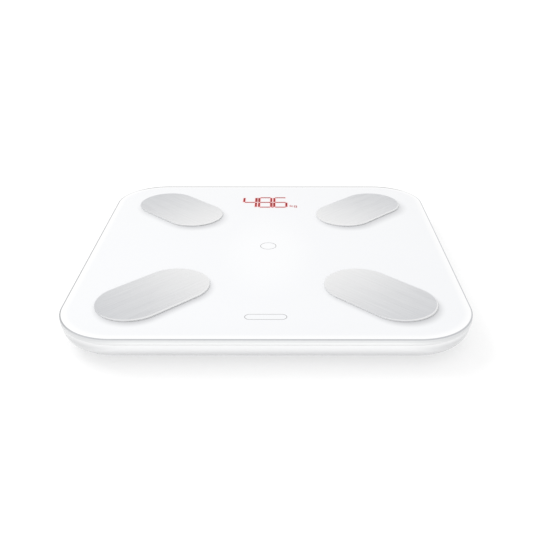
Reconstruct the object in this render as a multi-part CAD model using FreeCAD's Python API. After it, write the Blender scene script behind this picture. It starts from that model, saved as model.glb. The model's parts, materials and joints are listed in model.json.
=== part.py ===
import FreeCAD
import Part
import math
import os
from FreeCAD import Vector

# Electronic bathroom scale: a square tempered-glass platform with four bonded steel
# body-contact electrodes over a shallow moulded case.  Four load cells stand on sprung feet.
# Millimetres.  +Z is up, +Y points to the display (toe) end, +X to the user's right.
# The origin is on the floor, under the middle of the platform.

# ---- platform --------------------------------------------------------------------------
width = 260.0
depth = 260.0
corner_radius = 38.7
glass_thickness = 4.0
glass_arris = 0.6

# ---- heights above the floor -----------------------------------------------------------
foot_gap = 3.2             # floor to the flat underside of the case
seam_gap = 0.6             # open groove between the rim and the glass
tape_thickness = 0.5
frame_thickness = 1.5

# ---- lower case ------------------------------------------------------------------------
case_inset = 1.1           # the rim stands this far inside the edge of the glass
edge_run = 14.0            # the rounded lower edge, measured across
edge_rise = 10.0           # the same edge, measured up
wall = 2.0
floor_thickness = 2.0
rib_width = 1.4
rib_height = 1.5
rib_reach = 60.0
rib_offsets = (-60.0, -6.0, 60.0)
skirt_setback = 5.0        # the frame's skirt stands this far inside its edge
press_wall = 2.1           # wall of the ring that presses on a load cell

# ---- fits ------------------------------------------------------------------------------
fit_gap = 0.2              # between fixed neighbours
slide_gap = 0.4            # round a piece that slides
pin_gap = 0.1              # round a hinge pin
bond_gap = 0.02            # between a thread and its pilot hole

# ---- electrodes ------------------------------------------------------------------------
electrode_length = 81.2
electrode_width = 47.0
electrode_inset = 56.0     # from the edges of the glass to the electrode's centre
electrode_thickness = 0.85
electrode_edge = 0.35
bond_thickness = 0.15
bond_margin = 1.5
stud_radius = 1.5
stud_hole_radius = 2.6
stud_drop = 4.2            # the stud's length below the glass
bush_flange_radius = 4.4
bush_flange_thickness = 0.8
nut_across_flats = 5.5
nut_height = 2.4
tag_thickness = 0.4
tag_radius = 3.4
tag_reach = 6.5
barrel_radius = 0.9
barrel_length = 4.0
tag_slot_radius = 5.2
tag_slot_reach = 19.0

# ---- feet and load cells ---------------------------------------------------------------
foot_travel = 0.5          # a foot drops this far when the scale is lifted
rest_gap = 0.1             # a piece that hangs in the case floor stays this far above its seat
pad_radius = 16.2
pad_thickness = 2.4
pad_seat = 0.8             # the pad sits this deep in the cup
pad_edge = 0.6
cup_radius = 18.4
cup_flange_radius = 20.4
cup_flange_thickness = 1.2
cup_floor = 1.4
cup_edge = 0.4
boss_radius = 5.0
press_gap = 0.05           # boss to load-cell tongue, with the scale standing
cell_size = 34.0
cell_thickness = 2.5
cell_corner = 3.0
cell_frame_width = 4.0
cell_slot = 2.0
tongue_width = 14.0
carrier_wall = 1.6
carrier_ledge = 1.2
carrier_lip = 2.6          # how far the ledge reaches in under the cell
seal_length = 7.0
seal_width = 12.0
seal_height = 0.8
lead_notch = 9.0

# ---- screws ----------------------------------------------------------------------------
screw_radius = 1.3
screw_head_radius = 2.7
screw_head_height = 1.5
screw_length = 7.4
counterbore_radius = 3.1
counterbore_depth = 3.0
post_radius = 4.6
post_height = 4.4          # above the case floor
post_margin = 1.0
side_post_offset = 36.0
end_post_offset = 44.0
small_screw_radius = 0.9
small_head_radius = 1.7
small_head_height = 1.0
small_screw_length = 3.0
cross_width = 0.5
cross_depth = 0.7
cross_share = 0.6          # the cross's reach as a share of the head's radius
easing_share = 0.25        # the head's chamfer as a share of its height

# ---- main board ------------------------------------------------------------------------
board_y = 26.0
board_length = 68.0
board_width = 44.0
board_thickness = 1.2
board_lift = 3.6           # case floor to the underside of the board
board_boss_radius = 2.6
board_boss_margin = 4.5
connector_height = 4.0
connector_depth = 6.0
cell_port_width = 6.4
cell_port_y = 5.5          # ports lie this far from the middle of the board's ends
electrode_port_width = 3.6
electrode_port_y = 11.5
supply_port_width = 8.0
supply_x = -14.0
socket_margin = 1.5        # socket beyond each side of the ribbon
lead_lift = 2.0            # leads run this far above the board
legs_per_side = 8
leg_length = 1.0
leg_height = 0.3
# components: x and y from the middle of the board, length, width, height
chips = ((-9.0, 2.0, 10.0, 6.0, 1.4), (9.0, -6.0, 8.0, 4.0, 1.2))
radio_board = (10.0, 9.0, 14.0, 10.0, 0.8)
radio_can = (8.5, 9.0, 10.0, 8.6, 2.2)
crystal = (-6.0, -8.0, 5.0, 3.2, 1.1)
small_passive = (2.0, 1.2, 0.7)
passive_row = [(-21.0 + 3.4 * index, -14.0) for index in range(6)]
passive_column = [(-20.0, 8.0 + 2.6 * index) for index in range(3)]
capacitor_place = (20.0, -13.0)
capacitor_radius = 2.5
capacitor_height = 3.6

# ---- display ---------------------------------------------------------------------------
display_inset = 39.7       # from the toe edge to the middle of the digits
digit_height = 23.5
digit_width = 11.8
digit_pitch = 12.95
digit_middle = -3.95       # x of the middle digit of three
segment_width = 1.5
point_x = 2.4
unit_x = 20.0
unit_width = 6.6
unit_height = 5.7
reflector_half_length = 32.0
reflector_margin = 3.6
reflector_height = 5.0
diffuser_thickness = 0.3
display_board_margin = 6.0
display_board_tail = 6.0
display_boss_radius = 2.3
led_size = 1.1
led_height = 0.6
display_socket_height = 1.8
ribbon_width = 12.0
ribbon_thickness = 0.3
ribbon_lift = 0.8          # above the display board
ribbon_sag = 1.0

# ---- batteries -------------------------------------------------------------------------
cell_count = 4
battery_radius = 5.25
battery_length = 44.5
battery_nub_radius = 1.9
battery_nub = 0.8
battery_edge = 0.6
battery_gap = 0.4
bay_y = -50.0
bay_wall = 1.4
bay_roof = 0.8
bay_end_gap = 0.3
contact_thickness = 0.4
contact_width = 8.0
spring_length = 3.5
spring_wire = 0.3
spring_radius = 3.0
spring_turns = 2.5
spring_steps = 8           # bends in each turn
tab_width = 2.0
tab_length = 3.2

# ---- battery cover ---------------------------------------------------------------------
cover_thickness = 1.6
cover_lip = 3.0            # the rebate round the bay that the cover closes against
collar_wall = 1.8
collar_height = 1.6
hinge_lift = 1.3           # hinge axis above the cover's outer face
hinge_setback = 1.0        # hinge axis inside the cover's edge
hinge_pin_radius = 0.6
hinge_pin_length = 1.6
knuckle_length = 6.0
hinge_sweep_gap = 0.8
latch_half_width = 5.0
latch_thickness = 1.2
latch_height = 3.0
hook_reach = 0.6
hook_height = 0.9
catch_reach = 0.4
thumb_radius = 7.0
thumb_depth = 0.6

# ---- unit button -----------------------------------------------------------------------
button_x = 20.0
button_y = 17.0
button_radius = 3.2
button_travel = 0.4
button_flange = 1.2
button_flange_thickness = 0.6
button_edge = 0.2
switch_size = 4.5
switch_height = 1.9
plunger_radius = 1.0

# ---- leads -----------------------------------------------------------------------------
lead_radius = 0.5
lead_spacing = 1.8
bend_share = 0.45          # of the shorter of the two runs that meet
lead_clear = 3.0           # load-cell leads turn this far outside the carrier
lead_approach = 12.0       # and straighten this far before their port
toe_lead_turn = 14.0       # and turn towards it this far beyond it along Y
heel_lead_turn = 22.0
tag_lead_run = 2.0
tag_lead_drop = 5.0
electrode_approach = 5.0
supply_lane = 4.0          # steps between the battery leads and from the bay
supply_approach = 5.0

# ---- levels and places worked out from the sizes above ----------------------------------
case_bottom = foot_gap
case_floor = case_bottom + floor_thickness
battery_z = case_bottom + cover_thickness + fit_gap + battery_radius
bay_top = battery_z + battery_radius + fit_gap
glass_bottom = bay_top + bay_roof
rim_top = glass_bottom - seam_gap
glass_top = glass_bottom + glass_thickness
frame_top = glass_bottom - tape_thickness
frame_bottom = frame_top - frame_thickness
frame_inset = case_inset + wall + fit_gap
post_top = case_floor + post_height

carrier_radius = cell_size / 2 * math.sqrt(2) - cell_corner * (math.sqrt(2) - 1) + carrier_wall
foot_inset = max(corner_radius, case_inset + edge_run + carrier_radius + fit_gap)
foot_x = width / 2 - foot_inset
foot_y = depth / 2 - foot_inset
electrode_x = width / 2 - electrode_inset
electrode_y = depth / 2 - electrode_inset
electrode_straight = (electrode_length - electrode_width) / 2

cup_bottom = pad_thickness - pad_seat
flange_bottom = case_floor + rest_gap + foot_travel
flange_top = flange_bottom + cup_flange_thickness
ledge_bottom = flange_top + fit_gap
cell_bottom = ledge_bottom + carrier_ledge
cell_top = cell_bottom + cell_thickness
boss_top = cell_bottom - press_gap

board_bottom = case_floor + board_lift
board_top = board_bottom + board_thickness
lead_level = board_top + lead_lift
supply_level = case_floor + rib_height + slide_gap + lead_radius

display_y = depth / 2 - display_inset
diffuser_bottom = glass_bottom - diffuser_thickness
display_board_top = diffuser_bottom - reflector_height
display_board_bottom = display_board_top - board_thickness
reflector_half_width = digit_height / 2 + reflector_margin
display_board_half = reflector_half_length + display_board_margin
display_board_low_y = display_y - reflector_half_width - display_board_tail
display_boss_x = reflector_half_length + display_board_margin / 2

bay_half_x = battery_length / 2 + contact_thickness + spring_length / 2
battery_pitch = 2 * battery_radius + battery_gap
bay_half_y = cell_count * battery_pitch / 2 + bay_end_gap
rebate_half_x = bay_half_x + cover_lip
rebate_half_y = bay_half_y + cover_lip
cover_half_x = rebate_half_x - slide_gap
hinge_y = bay_y - rebate_half_y + hinge_sweep_gap + hinge_setback
hinge_z = case_bottom + hinge_lift
cover_low_y = hinge_y - hinge_setback
cover_high_y = bay_y + rebate_half_y - slide_gap
collar_top = case_bottom + cover_thickness + fit_gap + collar_height

corners = (("toe_left", -1, 1), ("toe_right", 1, 1), ("heel_left", -1, -1), ("heel_right", 1, -1))
side_posts = [(sx * (width / 2 - case_inset - edge_run - post_radius - post_margin), sy * side_post_offset)
              for sx in (-1, 1) for sy in (-1, 1)]
end_posts = [(sx * end_post_offset, sy * (depth / 2 - case_inset - edge_run - post_radius - post_margin))
             for sx in (-1, 1) for sy in (-1, 1)]
case_posts = side_posts + end_posts
board_bosses = [(sx * (board_length / 2 - board_boss_margin),
                 board_y + sy * (board_width / 2 - board_boss_margin))
                for sx in (-1, 1) for sy in (-1, 1)]
display_bosses = [(sx * display_boss_x, display_y + sy * (reflector_half_width - display_boss_radius))
                  for sx in (-1, 1) for sy in (-1, 1)]
battery_rows = [bay_y + (cell_count - 1 - 2 * row) * battery_pitch / 2 for row in range(cell_count)]


# ---- basic shapes ----------------------------------------------------------------------
def block(x0, x1, y0, y1, z0, z1):
    """A box between two corners."""
    return Part.makeBox(x1 - x0, y1 - y0, z1 - z0, Vector(x0, y0, z0))


def disc(radius, z0, z1, x=0.0, y=0.0):
    """An upright cylinder."""
    return Part.makeCylinder(radius, z1 - z0, Vector(x, y, z0))


def ring(outer, inner, z0, z1, x=0.0, y=0.0):
    """An upright tube."""
    return disc(outer, z0, z1, x, y).cut(disc(inner, z0, z1, x, y))


def line(start, end):
    """A straight edge."""
    return Part.LineSegment(start, end).toShape()


def quarter(centre, radius, start_degrees):
    """A quarter-circle edge in a level plane."""
    circle = Part.Circle(centre, Vector(0, 0, 1), radius)
    return Part.Arc(circle, math.radians(start_degrees), math.radians(start_degrees + 90)).toShape()


def plate(half_x, half_y, corner, z0, z1, x=0.0, y=0.0):
    """A level plate with rounded corners."""
    inner_x = half_x - corner
    inner_y = half_y - corner
    edges = [line(Vector(half_x, -inner_y, 0), Vector(half_x, inner_y, 0)),
             quarter(Vector(inner_x, inner_y, 0), corner, 0),
             line(Vector(inner_x, half_y, 0), Vector(-inner_x, half_y, 0)),
             quarter(Vector(-inner_x, inner_y, 0), corner, 90),
             line(Vector(-half_x, inner_y, 0), Vector(-half_x, -inner_y, 0)),
             quarter(Vector(-inner_x, -inner_y, 0), corner, 180),
             line(Vector(-inner_x, -half_y, 0), Vector(inner_x, -half_y, 0)),
             quarter(Vector(inner_x, -inner_y, 0), corner, 270)]
    solid = Part.Face(Part.Wire(edges)).extrude(Vector(0, 0, z1 - z0))
    return solid.translate(Vector(x, y, z0))


def stadium(straight, radius, z0, z1):
    """A level plate with straight sides along X and round ends."""
    body = block(-straight, straight, -radius, radius, z0, z1)
    return body.fuse([disc(radius, z0, z1, -straight), disc(radius, z0, z1, straight)]).removeSplitter()


def dish(half_x, half_y, corner, z0, z1, run, rise):
    """A rounded slab whose lower edge is a quarter ellipse, RUN across and RISE up."""
    centre = Vector(corner - run, z0 + rise, 0)
    ellipse = Part.Ellipse(centre, run, rise)
    curve = Part.ArcOfEllipse(ellipse, math.radians(270), math.radians(360)).toShape()
    profile = Part.Wire([line(Vector(0, z0, 0), Vector(corner - run, z0, 0)),
                         curve,
                         line(Vector(corner, z0 + rise, 0), Vector(corner, z1, 0)),
                         line(Vector(corner, z1, 0), Vector(0, z1, 0)),
                         line(Vector(0, z1, 0), Vector(0, z0, 0))])
    face = Part.Face(profile)
    face.rotate(Vector(0, 0, 0), Vector(1, 0, 0), 90)
    inner_x = half_x - corner
    inner_y = half_y - corner
    pieces = []
    for turn, reach_out, reach_along in ((0, inner_x, inner_y), (90, inner_y, inner_x),
                                         (180, inner_x, inner_y), (270, inner_y, inner_x)):
        side = face.copy().translate(Vector(reach_out, -reach_along, 0))
        side = side.extrude(Vector(0, 2 * reach_along, 0))
        round_end = face.revolve(Vector(0, 0, 0), Vector(0, 0, 1), 90)
        round_end.translate(Vector(reach_out, reach_along, 0))
        for piece in (side, round_end):
            pieces.append(piece.rotate(Vector(0, 0, 0), Vector(0, 0, 1), turn))
    core = block(-inner_x, inner_x, -inner_y, inner_y, z0, z1)
    return core.fuse(pieces).removeSplitter()


def tube(points, radius):
    """A round lead through POINTS: straight runs joined by tangent arcs as large as the runs allow."""
    edges = []
    start = points[0]
    for before, corner, after in zip(points, points[1:], points[2:]):
        into = (corner - before).normalize()
        out = (after - corner).normalize()
        half_turn = into.getAngle(out) / 2
        trim = bend_share * min((corner - before).Length, (after - corner).Length)
        bend = trim / math.tan(half_turn)
        middle = corner + (out - into).normalize() * (bend / math.cos(half_turn) - bend)
        edges.append(line(start, corner - into * trim))
        edges.append(Part.Arc(corner - into * trim, middle, corner + out * trim).toShape())
        start = corner + out * trim
    edges.append(line(start, points[-1]))
    section = Part.Wire([Part.makeCircle(radius, points[0], points[1] - points[0])])
    return Part.Wire(edges).makePipeShell([section], True, False)


def to_corner(shape, x, y, sx, sy):
    """Turn a piece made about the origin, outward along +X, to face a corner, and put it there."""
    turned = shape.copy().rotate(Vector(0, 0, 0), Vector(0, 0, 1), math.degrees(math.atan2(sy, sx)))
    return turned.translate(Vector(sx * x, sy * y, 0))


def at_each_corner(shape, x, y):
    """The same piece at all four corners, as separate solids."""
    return Part.makeCompound([to_corner(shape, x, y, sx, sy) for name, sx, sy in corners])


def at_places(shape, places):
    """The same piece at each place, as separate solids."""
    return Part.makeCompound([shape.copy().translate(Vector(x, y, 0)) for x, y in places])


def screw(radius, length, head_radius, head_height, head_bottom):
    """A cross-head screw driven upwards, with its head at the bottom."""
    seat = head_bottom + head_height
    body = disc(head_radius, head_bottom, seat)
    middle = head_bottom + head_height / 2
    rim = [edge for edge in body.Edges if edge.BoundBox.ZMax < middle and len(edge.Vertexes) == 1]
    body = body.makeChamfer(head_height * easing_share, rim)
    tip = seat + length - radius
    shank = disc(radius, seat, tip).fuse(Part.makeCone(radius, radius / 2, radius, Vector(0, 0, tip)))
    reach = head_radius * cross_share
    half = cross_width / 2
    for turn in (0, 90):
        arm = block(-reach, reach, -half, half, head_bottom, head_bottom + cross_depth)
        body = body.cut(arm.rotate(Vector(0, 0, 0), Vector(0, 0, 1), turn))
    return body.fuse(shank).removeSplitter()


# ---- platform --------------------------------------------------------------------------
def stud_place():
    """Each electrode's stud, at the middle of its inner round end, measured along its own +X."""
    return -electrode_straight


def electrode_cutters(radius, z0, z1):
    """Upright cylinders on the four studs."""
    return at_each_corner(disc(radius, z0, z1, stud_place()), electrode_x, electrode_y)


def glass_platform():
    """Tempered glass with ground edges and a drilled hole for each electrode stud."""
    glass = plate(width / 2, depth / 2, corner_radius, glass_bottom, glass_top)
    rims = [edge for edge in glass.Edges
            if edge.BoundBox.ZLength < glass_arris / 2]
    glass = glass.makeChamfer(glass_arris, rims)
    return glass.cut(electrode_cutters(stud_hole_radius, glass_bottom, glass_top))


def electrode():
    """Brushed steel plate with an eased edge and a welded stud."""
    low = glass_top + bond_thickness
    cap = stadium(electrode_straight, electrode_width / 2, low, low + electrode_thickness)
    top_edges = [edge for edge in cap.Edges if edge.BoundBox.ZMin > low + electrode_thickness / 2]
    cap = cap.makeFillet(electrode_edge, top_edges)
    stud = disc(stud_radius, glass_bottom - stud_drop, low + electrode_thickness / 2, stud_place())
    return cap.fuse(stud).removeSplitter()


def electrode_bond():
    """Adhesive film between an electrode and the glass, open round the stud."""
    film = stadium(electrode_straight, electrode_width / 2 - bond_margin, glass_top,
                   glass_top + bond_thickness)
    return film.cut(disc(stud_hole_radius, glass_top, glass_top + bond_thickness, stud_place()))


def electrode_bush():
    """Flanged insulating bush that lines the hole in the glass."""
    flange_low = glass_bottom - bush_flange_thickness
    bush = disc(bush_flange_radius, flange_low, glass_bottom, stud_place())
    bush = bush.fuse(disc(stud_hole_radius - pin_gap, glass_bottom, glass_top, stud_place()))
    return bush.cut(disc(stud_radius + bond_gap, flange_low, glass_top, stud_place())).removeSplitter()


def electrode_tag():
    """Ring terminal on the stud, with its crimp barrel pointing inwards."""
    top = glass_bottom - bush_flange_thickness
    low = top - tag_thickness
    middle = (top + low) / 2
    inner_end = stud_place() - tag_reach
    tag = disc(tag_radius, low, top, stud_place())
    tag = tag.fuse(block(inner_end, stud_place(), -barrel_radius, barrel_radius, low, top))
    barrel = Part.makeCylinder(barrel_radius, barrel_length, Vector(inner_end, 0, middle), Vector(-1, 0, 0))
    tag = tag.fuse(barrel)
    return tag.cut(disc(stud_radius + bond_gap, low, top, stud_place())).removeSplitter()


def electrode_nut():
    """Hexagon nut that draws the stud down on its bush."""
    top = glass_bottom - bush_flange_thickness - tag_thickness
    radius = nut_across_flats / math.sqrt(3)
    angles = [math.radians(degrees) for degrees in range(0, 420, 60)]
    points = [Vector(radius * math.cos(angle), radius * math.sin(angle), 0) for angle in angles]
    nut = Part.Face(Part.makePolygon(points)).extrude(Vector(0, 0, nut_height))
    nut.translate(Vector(stud_place(), 0, top - nut_height))
    return nut.cut(disc(stud_radius + bond_gap, top - nut_height, top, stud_place()))


def bay_outline(margin, z0, z1):
    """A block that covers the battery bay, MARGIN larger all round."""
    half_x = bay_half_x + bay_wall + margin
    half_y = bay_half_y + bay_wall + margin
    return block(-half_x, half_x, bay_y - half_y, bay_y + half_y, z0, z1)


def display_outline(margin, z0, z1):
    """A block that covers the display reflector, MARGIN larger all round."""
    half_x = reflector_half_length + margin
    half_y = reflector_half_width + margin
    return block(-half_x, half_x, display_y - half_y, display_y + half_y, z0, z1)


def tag_slots(z0, z1):
    """Openings that leave room for the studs, tags and the leads that drop from them."""
    half = tag_slot_radius
    slot = disc(half, z0, z1, stud_place())
    slot = slot.fuse(block(stud_place() - tag_slot_reach, stud_place(), -half, half, z0, z1))
    return at_each_corner(slot, electrode_x, electrode_y)


def glass_tape():
    """Double-sided foam sheet that bonds the glass to the frame."""
    inset = frame_inset + fit_gap
    sheet = plate(width / 2 - inset, depth / 2 - inset, corner_radius - inset, frame_top, glass_bottom)
    sheet = sheet.cut(bay_outline(slide_gap, frame_top, glass_bottom))
    sheet = sheet.cut(display_outline(slide_gap, frame_top, glass_bottom))
    return sheet.cut(tag_slots(frame_top, glass_bottom))


def top_frame():
    """Inner panel under the glass: screw bosses, load-cell press rings and a stiffening skirt."""
    inset = frame_inset
    frame = plate(width / 2 - inset, depth / 2 - inset, corner_radius - inset, frame_bottom, frame_top)
    skirt_inset = inset + skirt_setback
    skirt = plate(width / 2 - skirt_inset, depth / 2 - skirt_inset, corner_radius - skirt_inset,
                  cell_top, frame_bottom)
    inner = skirt_inset + rib_width
    skirt = skirt.cut(plate(width / 2 - inner, depth / 2 - inner, corner_radius - inner,
                            cell_top, frame_bottom))
    press = cell_plate(cell_size / 2, cell_corner, cell_top, frame_bottom)
    hollow = cell_size / 2 - press_wall
    press = press.cut(cell_plate(hollow, cell_corner / 2, cell_top, frame_bottom))
    press = press.cut(block(-cell_size, 0, -lead_notch / 2, lead_notch / 2, cell_top, frame_bottom))
    case_boss = ring(post_radius - rib_width, screw_radius + bond_gap, post_top + fit_gap, frame_bottom)
    display_boss = ring(display_boss_radius, small_screw_radius + bond_gap, display_board_top, frame_bottom)
    frame = frame.fuse([skirt, at_each_corner(press, foot_x, foot_y), at_places(case_boss, case_posts),
                        at_places(display_boss, display_bosses)]).removeSplitter()
    frame = frame.cut(bay_outline(slide_gap, frame_bottom, frame_top))
    frame = frame.cut(display_outline(fit_gap, frame_bottom, frame_top))
    return frame.cut(tag_slots(frame_bottom, frame_top))


# ---- lower case ------------------------------------------------------------------------
def case_shell():
    """The moulded tray: rounded lower edge, even wall, open top."""
    half_x = width / 2 - case_inset
    half_y = depth / 2 - case_inset
    corner = corner_radius - case_inset
    outer = dish(half_x, half_y, corner, case_bottom, rim_top, edge_run, edge_rise)
    inner = dish(half_x - wall, half_y - wall, corner - wall, case_floor, rim_top,
                 edge_run - wall, edge_rise - floor_thickness)
    return outer.cut(inner)


def case_ribs():
    """Low ribs across the floor between the corners."""
    ribs = []
    for offset in rib_offsets:
        ribs.append(block(-rib_reach, rib_reach, offset - rib_width / 2, offset + rib_width / 2,
                          case_floor, case_floor + rib_height))
    for side in (-rib_reach, rib_reach):
        ribs.append(block(side - rib_width / 2, side + rib_width / 2, -rib_reach, rib_reach,
                          case_floor, case_floor + rib_height))
    return ribs


def bay_shell():
    """Outer block of the battery bay with the collar that carries the cover."""
    walls = bay_outline(0, case_bottom, bay_top + bay_roof)
    half_x = rebate_half_x + collar_wall
    half_y = rebate_half_y + collar_wall
    return walls.fuse(block(-half_x, half_x, bay_y - half_y, bay_y + half_y, case_bottom, collar_top))


def bay_hollow():
    """What is cut from the bay: the cells' room, the cover's rebate, hinge trough, latch and tab slots."""
    room = block(-bay_half_x, bay_half_x, bay_y - bay_half_y, bay_y + bay_half_y, case_bottom, bay_top)
    rebate = block(-rebate_half_x, rebate_half_x, bay_y - rebate_half_y, bay_y + rebate_half_y,
                   case_bottom, case_bottom + cover_thickness + fit_gap)
    trough_top = hinge_z + hinge_lift + hinge_sweep_gap
    trough = block(-rebate_half_x, rebate_half_x, bay_y - rebate_half_y, bay_y - bay_half_y,
                   case_bottom, trough_top)
    pins = Part.makeCylinder(hinge_pin_radius + pin_gap, 2 * (cover_half_x + hinge_pin_length + slide_gap),
                             Vector(-cover_half_x - hinge_pin_length - slide_gap, hinge_y, hinge_z),
                             Vector(1, 0, 0))
    latch_half = latch_half_width + slide_gap
    notch = block(-latch_half, latch_half, bay_y + bay_half_y, bay_y + rebate_half_y,
                  case_bottom, case_bottom + cover_thickness + latch_height + fit_gap + slide_gap)
    tab_y = tab_width / 2 + fit_gap
    tab_z = contact_thickness / 2 + fit_gap
    tabs = [block(-bay_half_x - bay_wall, -bay_half_x, y - tab_y, y + tab_y,
                  battery_z - tab_z, battery_z + tab_z)
            for y in (battery_rows[0], battery_rows[-1])]
    return [room, rebate, trough, pins, notch] + tabs


def latch_catch():
    """The ridge that the cover's hook snaps over."""
    low = case_bottom + cover_thickness + fit_gap
    wall_y = bay_y + rebate_half_y
    return block(-latch_half_width, latch_half_width, wall_y - catch_reach, wall_y, low, low + catch_reach)


def lower_case():
    """The whole case moulding with its posts, bosses, foot holes, bay and button hole."""
    case = case_shell()
    added = case_ribs() + [bay_shell()]
    added += [disc(post_radius, case_bottom, post_top, x, y) for x, y in case_posts]
    added += [disc(board_boss_radius, case_bottom, board_bottom, x, y) for x, y in board_bosses]
    case = case.fuse(added).removeSplitter()
    cuts = bay_hollow()
    seat = case_bottom + counterbore_depth
    cuts += [disc(counterbore_radius, case_bottom, seat, x, y) for x, y in case_posts]
    cuts += [disc(screw_radius + fit_gap, case_bottom, post_top, x, y) for x, y in case_posts]
    cuts += [disc(small_screw_radius + bond_gap, case_floor, board_bottom, x, y) for x, y in board_bosses]
    cuts += [disc(cup_radius + slide_gap, case_bottom, case_floor, sx * foot_x, sy * foot_y)
             for name, sx, sy in corners]
    cuts.append(disc(button_radius + slide_gap, case_bottom, case_floor, button_x, button_y))
    return case.cut(cuts).fuse(latch_catch()).removeSplitter()


def case_screws():
    """Eight self-tapping screws from the underside."""
    one = screw(screw_radius, screw_length, screw_head_radius, screw_head_height,
                case_bottom + counterbore_depth - screw_head_height)
    return at_places(one, case_posts)


# ---- feet and load cells ---------------------------------------------------------------
def cell_plate(half, corner, z0, z1):
    """A square plate with its sides along the corner's own axes."""
    return plate(half, half, corner, z0, z1)


def foot_pad():
    """Rubber pad with a rounded tread edge, bonded in the cup."""
    pad = disc(pad_radius, 0, pad_thickness)
    tread = [edge for edge in pad.Edges if edge.BoundBox.ZMax < pad_thickness / 2]
    return pad.makeFillet(pad_edge, tread)


def foot_cup():
    """Moulded foot with a retaining flange and the boss that meets the load cell."""
    cup = disc(cup_radius, cup_bottom, flange_top)
    lower = [edge for edge in cup.Edges if edge.BoundBox.ZMax < cup_bottom + pad_seat]
    cup = cup.makeChamfer(cup_edge, lower)
    cup = cup.fuse(disc(cup_flange_radius, flange_bottom, flange_top))
    cup = cup.cut(disc(pad_radius, cup_bottom, pad_thickness))
    hollow = ring(cup_radius - rib_width, boss_radius, pad_thickness + cup_floor, flange_top)
    cup = cup.cut(hollow)
    spokes = [block(boss_radius - rib_width, cup_radius - rib_width / 2, -rib_width / 2, rib_width / 2,
                    pad_thickness + cup_floor, flange_top).rotate(Vector(0, 0, 0), Vector(0, 0, 1), turn)
              for turn in (45, 135, 225, 315)]
    return cup.fuse(spokes + [disc(boss_radius, pad_thickness, boss_top)]).removeSplitter()


def load_cell():
    """Steel E-plate: an outer frame with a tongue that the foot's boss loads."""
    body = cell_plate(cell_size / 2, cell_corner, cell_bottom, cell_top)
    inner = cell_size / 2 - cell_frame_width
    slot = block(-inner, inner, -inner, inner, cell_bottom, cell_top)
    tongue_end = inner - cell_slot
    tongue = block(-inner - cell_frame_width / 2, tongue_end, -tongue_width / 2, tongue_width / 2,
                   cell_bottom, cell_top)
    foot_rest = block(tongue_end - cell_frame_width * 2, tongue_end, -inner + cell_slot, inner - cell_slot,
                      cell_bottom, cell_top)
    return body.cut(slot).fuse([tongue, foot_rest]).removeSplitter()


def gauge_seal():
    """Silicone over the strain gauge at the root of the tongue."""
    start = -cell_size / 2 + cell_frame_width
    half = seal_width / 2
    pad = block(start, start + seal_length, -half, half, cell_top, cell_top + seal_height)
    uprights = [edge for edge in pad.Edges if edge.BoundBox.ZLength > seal_height / 2]
    return pad.makeFillet(seal_height, uprights)


def cell_carrier():
    """Moulded ring bonded to the case floor: a ledge under the cell and a wall round it."""
    carrier = disc(carrier_radius, case_floor, cell_top)
    carrier = carrier.cut(disc(cup_flange_radius + slide_gap, case_floor, ledge_bottom))
    carrier = carrier.cut(cell_plate(cell_size / 2 - carrier_lip, cell_corner, ledge_bottom, cell_bottom))
    return carrier.cut(cell_plate(cell_size / 2 + bond_gap, cell_corner, cell_bottom, cell_top))


# ---- main board ------------------------------------------------------------------------
def main_board():
    """Circuit board on four bosses."""
    board = block(-board_length / 2, board_length / 2, board_y - board_width / 2, board_y + board_width / 2,
                  board_bottom, board_top)
    return board.cut([disc(small_screw_radius + fit_gap, board_bottom, board_top, x, y)
                      for x, y in board_bosses])


def on_board(x, y, size_x, size_y, height):
    """A component's block on the top of the main board, placed from the board's centre."""
    return block(x - size_x / 2, x + size_x / 2, board_y + y - size_y / 2, board_y + y + size_y / 2,
                 board_top, board_top + height)


def legs_of(x, y, size_x, size_y):
    """Gull-wing legs along both long sides of a chip, as separate strips."""
    pitch = size_x / legs_per_side
    legs = []
    for side in (-1, 1):
        for index in range(legs_per_side):
            leg_x = x + pitch * (index - (legs_per_side - 1) / 2)
            leg_y = y + side * (size_y + leg_length) / 2
            legs.append(on_board(leg_x, leg_y, pitch / 2, leg_length, leg_height))
    return legs


def chip_bodies():
    """Converter and controller packages."""
    return Part.makeCompound([on_board(*chip) for chip in chips])


def chip_legs():
    """Tinned legs of both packages."""
    legs = []
    for x, y, size_x, size_y, height in chips:
        legs += legs_of(x, y, size_x, size_y)
    return Part.makeCompound(legs)


def radio_module():
    """Shielded radio module with its own small carrier board."""
    return on_board(*radio_board).fuse(on_board(*radio_can)).removeSplitter()


def passives():
    """Chip resistors and capacitors in two rows, with a crystal and a round electrolytic."""
    parts = [on_board(*place, *small_passive) for place in passive_row + passive_column]
    parts.append(on_board(*crystal))
    x, y = capacitor_place
    parts.append(disc(capacitor_radius, board_top, board_top + capacitor_height, x, board_y + y))
    return Part.makeCompound(parts)


def connectors():
    """Lead sockets along both ends of the board and one for the display ribbon."""
    centre_x = board_length / 2 - connector_depth / 2
    end_ports = ((cell_port_y, cell_port_width), (electrode_port_y, electrode_port_width))
    parts = [on_board(sx * centre_x, sy * port_y, connector_depth, port_width, connector_height)
             for sx in (-1, 1) for sy in (-1, 1) for port_y, port_width in end_ports]
    socket_y = board_width / 2 - connector_depth / 2
    parts.append(on_board(0, socket_y, ribbon_width + 2 * socket_margin, connector_depth, connector_height))
    parts.append(on_board(supply_x, -socket_y, supply_port_width, connector_depth, connector_height))
    return Part.makeCompound(parts)


def board_screws():
    """Four small screws down through the board into the case bosses."""
    one = screw(small_screw_radius, small_screw_length, small_head_radius, small_head_height, 0)
    one.rotate(Vector(0, 0, 0), Vector(1, 0, 0), 180)
    one.translate(Vector(0, 0, board_top + small_head_height))
    return at_places(one, board_bosses)


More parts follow.
